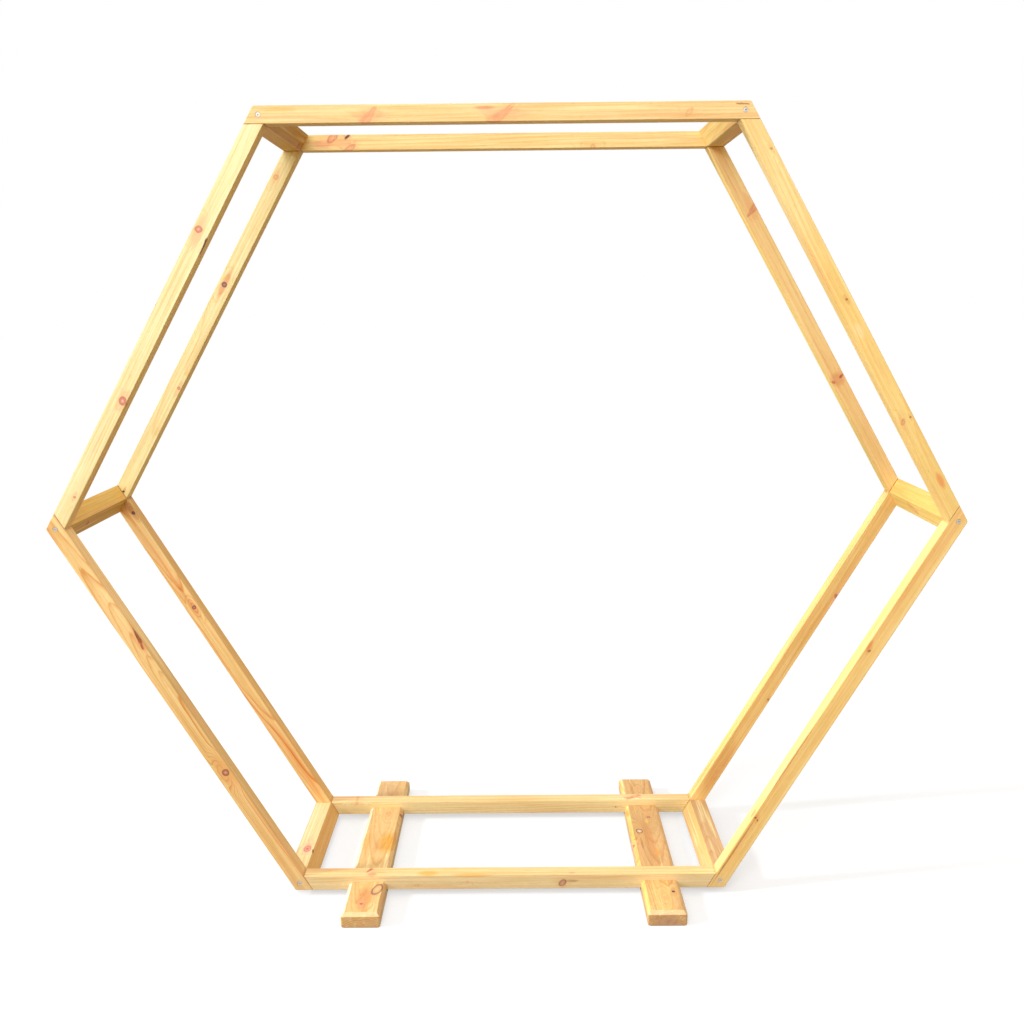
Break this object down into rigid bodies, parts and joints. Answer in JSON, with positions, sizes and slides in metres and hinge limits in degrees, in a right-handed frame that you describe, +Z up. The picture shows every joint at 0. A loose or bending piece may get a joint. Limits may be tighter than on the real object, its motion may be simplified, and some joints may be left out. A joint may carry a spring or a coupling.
{
  "type": "hexagonal wedding arch",
  "caption": "Free-standing hexagonal timber arch: front and back frames joined by cross rails at the corners and housed in foot boards, to stand round a couple or carry drapery.",
  "frame": {"origin": "on the ground, under the middle of the arch", "axes": "+X to the right as seen from the front, along the width; +Y from the front frame to the back frame; +Z up"},
  "size_m": [2.4972, 0.82, 2.1844],
  "materials": {
    "frame_timber": "planed pine",
    "cross_rail_timber": "planed pine",
    "foot_timber": "planed pine with chamfered edges"
  },
  "bodies": {
    "root": {"front_top_rail": "frame_timber", "front_upper_right_leg": "frame_timber", "front_lower_right_leg": "frame_timber", "front_bottom_rail": "frame_timber", "front_lower_left_leg": "frame_timber", "front_upper_left_leg": "frame_timber", "back_top_rail": "frame_timber", "back_upper_right_leg": "frame_timber", "back_lower_right_leg": "frame_timber", "back_bottom_rail": "frame_timber", "back_lower_left_leg": "frame_timber", "back_upper_left_leg": "frame_timber", "top_left_cross_rail": "cross_rail_timber", "top_right_cross_rail": "cross_rail_timber", "middle_right_cross_rail": "cross_rail_timber", "bottom_right_cross_rail": "cross_rail_timber", "bottom_left_cross_rail": "cross_rail_timber", "middle_left_cross_rail": "cross_rail_timber", "left_foot": "foot_timber", "right_foot": "foot_timber"}
  },
  "joints": []
}
